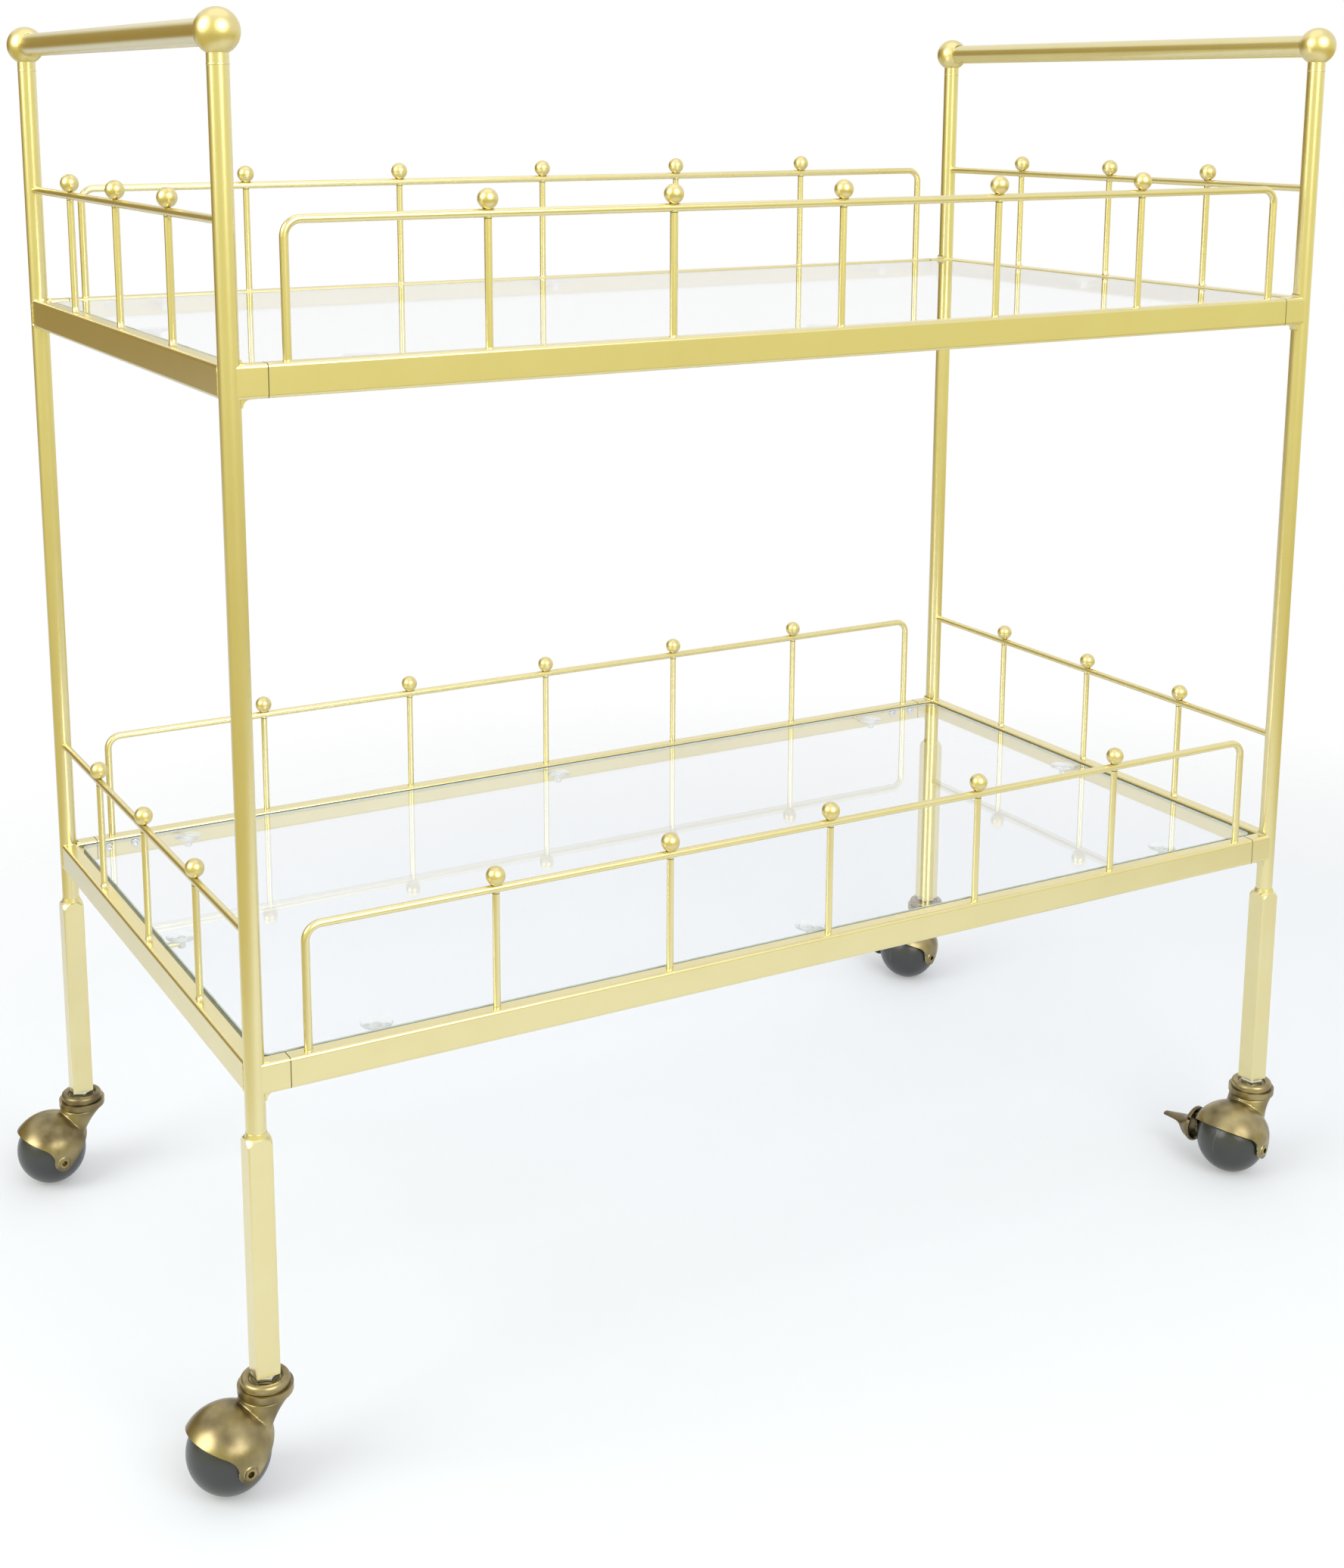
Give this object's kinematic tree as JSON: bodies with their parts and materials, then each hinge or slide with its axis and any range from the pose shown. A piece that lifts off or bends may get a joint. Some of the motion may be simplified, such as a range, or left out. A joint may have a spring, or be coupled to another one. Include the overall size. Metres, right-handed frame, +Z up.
{
  "type": "bar cart",
  "caption": "Serving trolley with a tubular steel frame, glass shelves inside spindle galleries, end handles and swivelling hooded ball casters, some with a foot brake.",
  "frame": {"origin": "on the floor, midway between the posts", "axes": "+X along the shelves from the left handle to the right handle, +Y from front to back, +Z up"},
  "size_m": [0.8565, 0.495, 0.8478],
  "materials": {
    "gold_paint": "satin",
    "clear_glass": "polished",
    "clear_plastic": "clear, slightly milky",
    "antique_brass": "mottled antique",
    "zinc": "zinc plated",
    "wheel_grey": "dark grey, semi-gloss",
    "bearing_steel": "polished",
    "socket_black": "matte"
  },
  "bodies": {
    "frame": {"post_front_left": "gold_paint", "leg_front_left": "gold_paint", "post_back_left": "gold_paint", "leg_back_left": "gold_paint", "post_front_right": "gold_paint", "leg_front_right": "gold_paint", "post_back_right": "gold_paint", "leg_back_right": "gold_paint", "handle_left": "gold_paint", "handle_right": "gold_paint", "handle_balls": "gold_paint", "rail_stubs": "gold_paint", "rail_plugs": "socket_black", "rail_screws": "zinc", "leg_sockets": "socket_black", "caster_stems": "zinc", "caster_rings": "antique_brass", "swivel_balls": "bearing_steel", "lower_left_rail": "gold_paint", "lower_left_gallery": "gold_paint", "lower_right_rail": "gold_paint", "lower_right_gallery": "gold_paint", "lower_front_rail": "gold_paint", "lower_front_gallery": "gold_paint", "lower_back_rail": "gold_paint", "lower_back_gallery": "gold_paint", "lower_spindles": "gold_paint", "lower_finials": "gold_paint", "lower_glass": "clear_glass", "lower_shelf_cups": "clear_plastic", "upper_left_rail": "gold_paint", "upper_left_gallery": "gold_paint", "upper_right_rail": "gold_paint", "upper_right_gallery": "gold_paint", "upper_front_rail": "gold_paint", "upper_front_gallery": "gold_paint", "upper_back_rail": "gold_paint", "upper_back_gallery": "gold_paint", "upper_spindles": "gold_paint", "upper_finials": "gold_paint", "upper_glass": "clear_glass", "upper_shelf_cups": "clear_plastic"},
    "swivel_front_left": {"hood_front_left": "antique_brass", "axle_front_left": "antique_brass"},
    "ball_front_left": {"wheel_front_left": "wheel_grey"},
    "swivel_back_left": {"hood_back_left": "antique_brass", "axle_back_left": "antique_brass"},
    "ball_back_left": {"wheel_back_left": "wheel_grey"},
    "swivel_front_right": {"hood_front_right": "antique_brass", "axle_front_right": "antique_brass", "brake_pin_front_right": "zinc"},
    "ball_front_right": {"wheel_front_right": "wheel_grey"},
    "brake_front_right": {"brake_lever_front_right": "antique_brass"},
    "swivel_back_right": {"hood_back_right": "antique_brass", "axle_back_right": "antique_brass", "brake_pin_back_right": "zinc"},
    "ball_back_right": {"wheel_back_right": "wheel_grey"},
    "brake_back_right": {"brake_lever_back_right": "antique_brass"}
  },
  "joints": [
    {"name": "swivel_front_left", "type": "hinge", "parent": "frame", "child": "swivel_front_left", "pos_m": [-0.395, -0.205, 0.0538], "axis": [0, 0, 1], "continuous": true},
    {"name": "spin_front_left", "type": "hinge", "parent": "swivel_front_left", "child": "ball_front_left", "pos_m": [-0.41976, -0.20848, 0.025], "axis": [-0.1392, 0.9903, 0], "continuous": true},
    {"name": "swivel_back_left", "type": "hinge", "parent": "frame", "child": "swivel_back_left", "pos_m": [-0.395, 0.205, 0.0538], "axis": [0, 0, 1], "continuous": true},
    {"name": "spin_back_left", "type": "hinge", "parent": "swivel_back_left", "child": "ball_back_left", "pos_m": [-0.4199, 0.20282, 0.025], "axis": [-0.0872, 0.9962, 0], "continuous": true},
    {"name": "swivel_front_right", "type": "hinge", "parent": "frame", "child": "swivel_front_right", "pos_m": [0.395, -0.205, 0.0538], "axis": [0, 0, 1], "continuous": true},
    {"name": "spin_front_right", "type": "hinge", "parent": "swivel_front_right", "child": "ball_front_right", "pos_m": [0.37074, -0.21105, 0.025], "axis": [-0.2419, 0.9703, 0], "continuous": true},
    {"name": "brake_front_right", "type": "hinge", "parent": "swivel_front_right", "child": "brake_front_right", "pos_m": [0.36344, -0.18174, 0.0325], "axis": [-0.9703, -0.2419, 0], "range_deg": [0, 7]},
    {"name": "swivel_back_right", "type": "hinge", "parent": "frame", "child": "swivel_back_right", "pos_m": [0.395, 0.205, 0.0538], "axis": [0, 0, 1], "continuous": true},
    {"name": "spin_back_right", "type": "hinge", "parent": "swivel_back_right", "child": "ball_back_right", "pos_m": [0.37074, 0.19895, 0.025], "axis": [-0.2419, 0.9703, 0], "continuous": true},
    {"name": "brake_back_right", "type": "hinge", "parent": "swivel_back_right", "child": "brake_back_right", "pos_m": [0.36344, 0.22826, 0.0325], "axis": [-0.9703, -0.2419, 0], "range_deg": [0, 7]}
  ]
}
